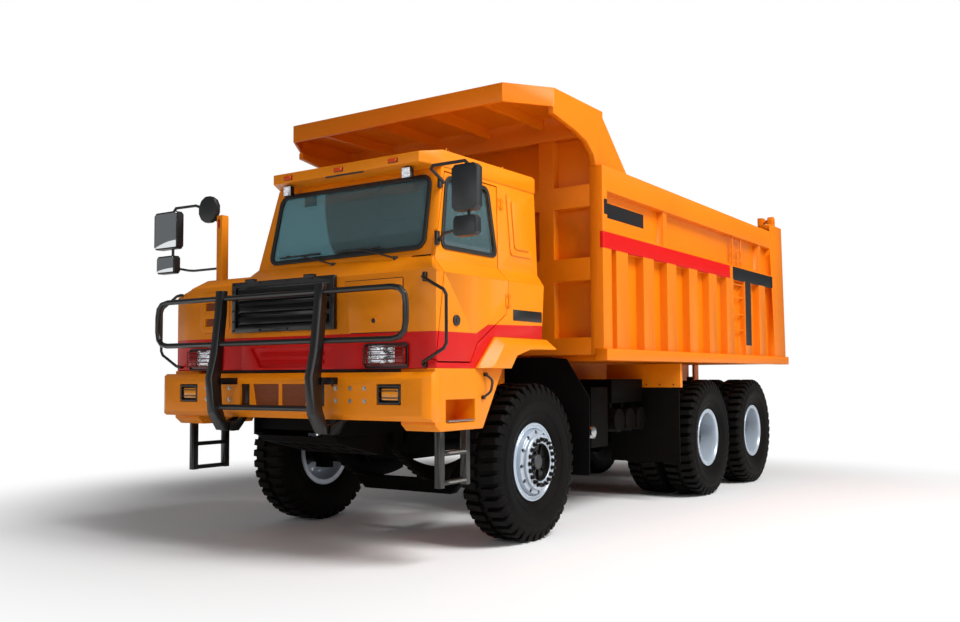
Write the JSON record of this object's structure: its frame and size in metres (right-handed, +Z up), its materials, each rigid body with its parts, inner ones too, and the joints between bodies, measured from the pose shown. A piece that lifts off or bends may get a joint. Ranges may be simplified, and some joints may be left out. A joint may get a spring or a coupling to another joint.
{
  "type": "mining dump truck",
  "caption": "Six-wheel mining dump truck with a ribbed tipping bed, cab canopy, tailgate, telescopic hoist, steered front axle and folding bull bar.",
  "frame": {"origin": "on the ground, at the middle of the overall length and width", "axes": "+X forward along the truck, +Y to its left, +Z up"},
  "size_m": [9.51, 4.08, 4.354],
  "materials": {
    "orange_paint": "gloss enamel",
    "black_paint": "satin chassis paint",
    "glass": "tinted",
    "seat_fabric": "woven",
    "cab_plastic": "moulded grain",
    "lamp_lens": "clear lens",
    "bare_steel": "turned",
    "tyre": "matt rubber",
    "wheel_paint": "silver enamel"
  },
  "bodies": {
    "root": {"frame_rails": "black_paint", "crossmembers": "black_paint", "front_axle": "black_paint", "rear_axles": "black_paint", "leaf_springs": "black_paint", "powertrain": "black_paint", "drive_shafts": "black_paint", "belly_guard": "black_paint", "bumper": "orange_paint", "front_body": "orange_paint", "cab_shell": "orange_paint", "cab_roof": "orange_paint", "cab_glass": "glass", "cab_seats": "seat_fabric", "cab_dash": "cab_plastic", "fenders": "orange_paint", "step_boxes": "orange_paint", "ladders": "black_paint", "mudguards": "black_paint", "mirrors": "black_paint", "handrails": "black_paint", "side_tanks": "black_paint", "exhaust": "bare_steel", "grille": "black_paint", "hatch_lid": "orange_paint", "lamps": "lamp_lens"},
    "knuckle_left": {"knuckle_left": "black_paint"},
    "knuckle_right": {"knuckle_right": "black_paint"},
    "axle_end_front_left": {"tyre_front_left": "tyre", "wheel_front_left": "wheel_paint"},
    "axle_end_front_right": {"tyre_front_right": "tyre", "wheel_front_right": "wheel_paint"},
    "axle_end_mid_left": {"tyre_mid_left": "tyre", "wheel_mid_left": "wheel_paint"},
    "axle_end_mid_right": {"tyre_mid_right": "tyre", "wheel_mid_right": "wheel_paint"},
    "axle_end_rear_left": {"tyre_rear_left": "tyre", "wheel_rear_left": "wheel_paint"},
    "axle_end_rear_right": {"tyre_rear_right": "tyre", "wheel_rear_right": "wheel_paint"},
    "door": {"door": "orange_paint", "door_glass": "glass"},
    "bed": {"bed_floor": "orange_paint", "bed_walls": "orange_paint", "bed_front": "orange_paint", "canopy": "orange_paint"},
    "tailgate": {"tailgate": "orange_paint"},
    "bull_bar": {"bull_bar": "black_paint"},
    "hoist_barrel": {"hoist_barrel": "black_paint"},
    "hoist_stage_1": {"hoist_stage_1": "bare_steel"},
    "hoist_stage_2": {"hoist_stage_2": "bare_steel"},
    "hoist_rod": {"hoist_rod": "bare_steel"}
  },
  "joints": [
    {"name": "steer_left", "type": "hinge", "parent": "root", "child": "knuckle_left", "pos_m": [2.635, 1.16, 0.7465], "axis": [0, 0, 1], "range_deg": [-35, 35]},
    {"name": "steer_right", "type": "hinge", "parent": "root", "child": "knuckle_right", "pos_m": [2.635, -1.16, 0.7465], "axis": [0, 0, 1], "range_deg": [-35, 35]},
    {"name": "roll_front_left", "type": "hinge", "parent": "knuckle_left", "child": "axle_end_front_left", "pos_m": [2.635, 1.345, 0.7465], "axis": [0, 1, 0], "continuous": true},
    {"name": "roll_front_right", "type": "hinge", "parent": "knuckle_right", "child": "axle_end_front_right", "pos_m": [2.635, -1.345, 0.7465], "axis": [0, 1, 0], "continuous": true},
    {"name": "roll_mid_left", "type": "hinge", "parent": "root", "child": "axle_end_mid_left", "pos_m": [-1.586, 1.2335, 0.7465], "axis": [0, 1, 0], "continuous": true},
    {"name": "roll_mid_right", "type": "hinge", "parent": "root", "child": "axle_end_mid_right", "pos_m": [-1.586, -1.2335, 0.7465], "axis": [0, 1, 0], "continuous": true},
    {"name": "roll_rear_left", "type": "hinge", "parent": "root", "child": "axle_end_rear_left", "pos_m": [-3.392, 1.2335, 0.7465], "axis": [0, 1, 0], "continuous": true},
    {"name": "roll_rear_right", "type": "hinge", "parent": "root", "child": "axle_end_rear_right", "pos_m": [-3.392, -1.2335, 0.7465], "axis": [0, 1, 0], "continuous": true},
    {"name": "door_swing", "type": "hinge", "parent": "root", "child": "door", "pos_m": [3.195, 1.625, 2.23], "axis": [0, -0.1351, 0.9908], "range_deg": [0, 70]},
    {"name": "bed_tilt", "type": "hinge", "parent": "root", "child": "bed", "pos_m": [-4.115, 0, 1.45], "axis": [0, -1, 0], "range_deg": [0, 42]},
    {"name": "tailgate_swing", "type": "hinge", "parent": "bed", "child": "tailgate", "pos_m": [-4.365, 0, 3.96], "axis": [0, 1, 0], "range_deg": [0, 60]},
    {"name": "bull_bar_fold", "type": "hinge", "parent": "root", "child": "bull_bar", "pos_m": [4.515, 0, 1.12], "axis": [0, 1, 0], "range_deg": [0, 75]},
    {"name": "hoist_lean", "type": "hinge", "parent": "root", "child": "hoist_barrel", "pos_m": [2.135, 0, 1.05], "axis": [0, -1, 0], "range_deg": [0, 23.84]},
    {"name": "hoist_slide_1", "type": "slide", "parent": "hoist_barrel", "child": "hoist_stage_1", "axis": [0, 0, 1], "range_m": [0, 1.461]},
    {"name": "hoist_slide_2", "type": "slide", "parent": "hoist_stage_1", "child": "hoist_stage_2", "axis": [0, 0, 1], "range_m": [0, 1.461]},
    {"name": "hoist_slide_3", "type": "slide", "parent": "hoist_stage_2", "child": "hoist_rod", "axis": [0, 0, 1], "range_m": [0, 1.461]}
  ],
  "couplings": [
    {"joint": "steer_right", "follows": "steer_left", "ratio": 1},
    {"joint": "hoist_lean", "follows": "bed_tilt", "ratio": 0.56738},
    {"joint": "hoist_slide_1", "follows": "bed_tilt", "m_per_rad": 1.9917},
    {"joint": "hoist_slide_2", "follows": "bed_tilt", "m_per_rad": 1.9917},
    {"joint": "hoist_slide_3", "follows": "bed_tilt", "m_per_rad": 1.9917}
  ]
}
